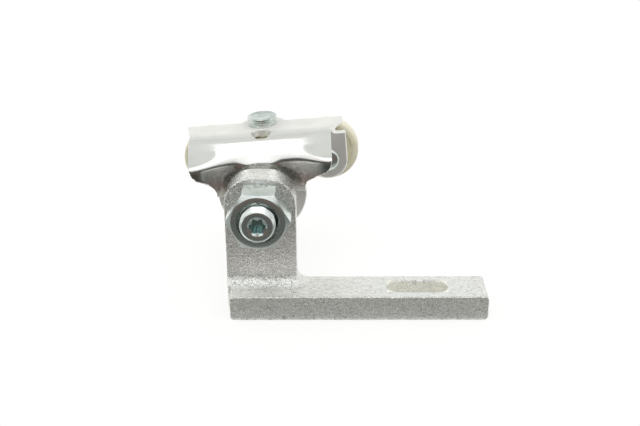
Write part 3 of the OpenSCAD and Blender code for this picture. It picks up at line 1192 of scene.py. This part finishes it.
@dataclass
class Studio:
    """The floor, the light and the camera. The lamp's place and size are in metres."""

    focal_px: float = 1050.0
    width_px: float = 640.0
    sensor_mm: float = 36.0
    camera_mm: tuple[float, float, float] = (-29.38, -323.65, 178.97)
    pitch: float = 23.71
    yaw: float = -0.74
    roll: float = -0.45
    white: RGB = (1.0, 1.0, 1.0)
    around: RGB = (1.15, 1.15, 1.14)
    overhead: RGB = (0.70, 0.72, 0.70)
    dim: RGB = (0.105, 0.115, 0.110)
    dim_warm: RGB = (0.26, 0.15, 0.11)
    floor_front_mm: float = -45.0
    floor_reach_mm: float = 1500.0
    floor_colour: RGB = (0.40, 0.40, 0.385)
    floor_lift: float = 0.63
    floor_mirror_mm: Span = (-10.0, -7.0)
    lamp_aim: tuple[float, float, float] = (-0.04, 0.01, 0.04)
    lamp_elevation: float = 60.0
    lamp_away: float = 0.8
    lamp_size: tuple[float, float] = (0.9, 0.42)
    lamp_watts: float = 1.2

    def camera(self) -> None:
        """Places the camera where the photograph was taken from."""
        pitch, yaw, roll = (math.radians(angle) for angle in (self.pitch, self.yaw, self.roll))
        level = math.cos(pitch)
        ahead = Vector((math.sin(yaw) * level, math.cos(yaw) * level, -math.sin(pitch)))
        side = Vector((math.cos(yaw), -math.sin(yaw), 0))
        up = side.cross(ahead)
        right = side * math.cos(roll) + up * math.sin(roll)
        top = up * math.cos(roll) - side * math.sin(roll)
        matrix = Matrix((right, top, -ahead)).transposed().to_4x4()
        matrix.translation = Vector(self.camera_mm) * MM
        data = bpy.data.cameras.new("camera")
        data.sensor_fit = "HORIZONTAL"
        data.sensor_width = self.sensor_mm
        data.lens = self.focal_px / self.width_px * self.sensor_mm
        data.clip_start = 0.01
        camera = bpy.data.objects.new("camera", data)
        camera.matrix_world = matrix
        bpy.context.scene.collection.objects.link(camera)
        bpy.context.scene.camera = camera

    @staticmethod
    def mirrored(graph: Graph) -> Wire:
        """1 for rays that come from a shiny or a clear surface."""
        return graph.ray("Is Glossy Ray") + graph.ray("Is Transmission Ray")

    def world(self) -> None:
        """Surrounds the part with white, greyer overhead and dim towards the photographer."""
        world = bpy.data.worlds.new("studio")
        bpy.context.scene.world = world
        world.use_nodes = True
        graph = Graph(world.node_tree)
        _, y, z = graph.split(graph.add("ShaderNodeTexCoord", output="Generated"))
        # The dim side in front gives the faces that look forward their mid grey.
        above = (z + y * 0.35).above(0.62, 0.78)
        front = (0 - y).above(0.15, 0.55) * (1 - z.above(0.24, 0.42))
        warm = (0 - y).above(0.55, 0.95) * (1 - z.above(-0.16, 0.05)) * z.above(-0.36, -0.22) * 0.7
        shade = graph.blend(warm, self.dim, self.dim_warm)
        tone = graph.blend(above, self.around, self.overhead)
        tone = graph.blend(front, tone, shade)
        mirrored = self.mirrored(graph) * (1 - front) * (1 - above)
        colour = graph.blend(graph.ray("Is Camera Ray") + mirrored, tone, self.white)
        glow = graph.add("ShaderNodeBackground", None, {"Color": colour, "Strength": 1.0})
        graph.add("ShaderNodeOutputWorld", None, {"Surface": glow})

    def floor_paint(self) -> bpy.types.Material:
        """A pale matte floor that shows white, apart from the part's shadow.

        Returns:
            The material.
        """
        material = bpy.data.materials.new("floor")
        material.use_nodes = True
        graph = Graph(material.node_tree)
        inputs = {"Base Color": (*self.floor_colour, 1), "Roughness": 0.8}
        matte = graph.add("ShaderNodeBsdfPrincipled", None, inputs)
        behind = graph.split(graph.add("ShaderNodeNewGeometry", output="Position"))[1]
        # Metal shows the white floor behind and beside the part, not the dim side in front.
        behind = behind.past(self.floor_mirror_mm)
        seen = graph.ray("Is Camera Ray") + self.mirrored(graph) * behind
        inputs = {"Color": (*self.white, 1), "Strength": seen * self.floor_lift}
        lift = graph.add("ShaderNodeEmission", None, inputs)
        both = graph.add("ShaderNodeAddShader", None, {0: matte, 1: lift})
        graph.add("ShaderNodeOutputMaterial", None, {"Surface": both})
        return material

    def floor(self) -> None:
        """Lays the floor."""
        front, reach = self.floor_front_mm, self.floor_reach_mm
        bm = bmesh.new()
        corners = [(-reach, front), (reach, front), (reach, reach), (-reach, reach)]
        bm.faces.new([bm.verts.new((x * MM, y * MM, 0)) for x, y in corners])
        mesh = bpy.data.meshes.new("floor")
        bm.to_mesh(mesh)
        bm.free()
        mesh.materials.append(self.floor_paint())
        floor = bpy.data.objects.new("floor", mesh)
        bpy.context.scene.collection.objects.link(floor)

    def lamp(self) -> None:
        """Hangs one soft box in front of and above the part."""
        elevation = math.radians(self.lamp_elevation)
        away = Vector((0, -math.cos(elevation), math.sin(elevation)))
        data = bpy.data.lights.new("front_box", "AREA")
        data.shape = "RECTANGLE"
        data.size, data.size_y = self.lamp_size
        data.energy = self.lamp_watts
        lamp = bpy.data.objects.new("front_box", data)
        lamp.location = Vector(self.lamp_aim) + away * self.lamp_away
        lamp.rotation_euler = away.to_track_quat("Z", "Y").to_euler()
        bpy.context.scene.collection.objects.link(lamp)

    def build(self) -> None:
        """Sets the whole stage."""
        bpy.context.scene.view_settings.view_transform = "Standard"
        self.camera()
        self.world()
        self.floor()
        self.lamp()


def main() -> None:
    """Builds the stage and dresses every piece."""
    logging.basicConfig(level=logging.INFO, format="%(message)s")
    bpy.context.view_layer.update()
    Studio().build()
    shop = Workshop()
    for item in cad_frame["record"]["subparts"]:
        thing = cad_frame["nodes"][item["node"]]
        thing.data.materials.clear()
        thing.data.materials.append(shop.paints[Slot(item["material_slot"])])
    pivot = Pivot()
    Arm().build(shop)
    Nut().build(shop, pivot)
    Stud().build(shop, pivot)
    Carriage().build(shop, pivot)
    SwivelBearing().build(shop, pivot)
    SideWheel("left", -17.7, Body.LEFT).build(shop, pivot)
    SideWheel("right", 23.6, Body.RIGHT).build(shop, pivot)
    GuideWheel().build(shop, pivot)
    bpy.context.view_layer.update()


with open("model.json") as file:
    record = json.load(file)
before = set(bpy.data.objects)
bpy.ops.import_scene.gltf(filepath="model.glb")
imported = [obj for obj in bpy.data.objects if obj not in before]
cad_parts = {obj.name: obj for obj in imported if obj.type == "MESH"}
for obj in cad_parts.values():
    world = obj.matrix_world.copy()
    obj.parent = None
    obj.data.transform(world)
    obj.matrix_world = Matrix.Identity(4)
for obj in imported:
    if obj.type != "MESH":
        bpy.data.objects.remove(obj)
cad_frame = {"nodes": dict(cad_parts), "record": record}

if __name__ == "__main__":
    main()
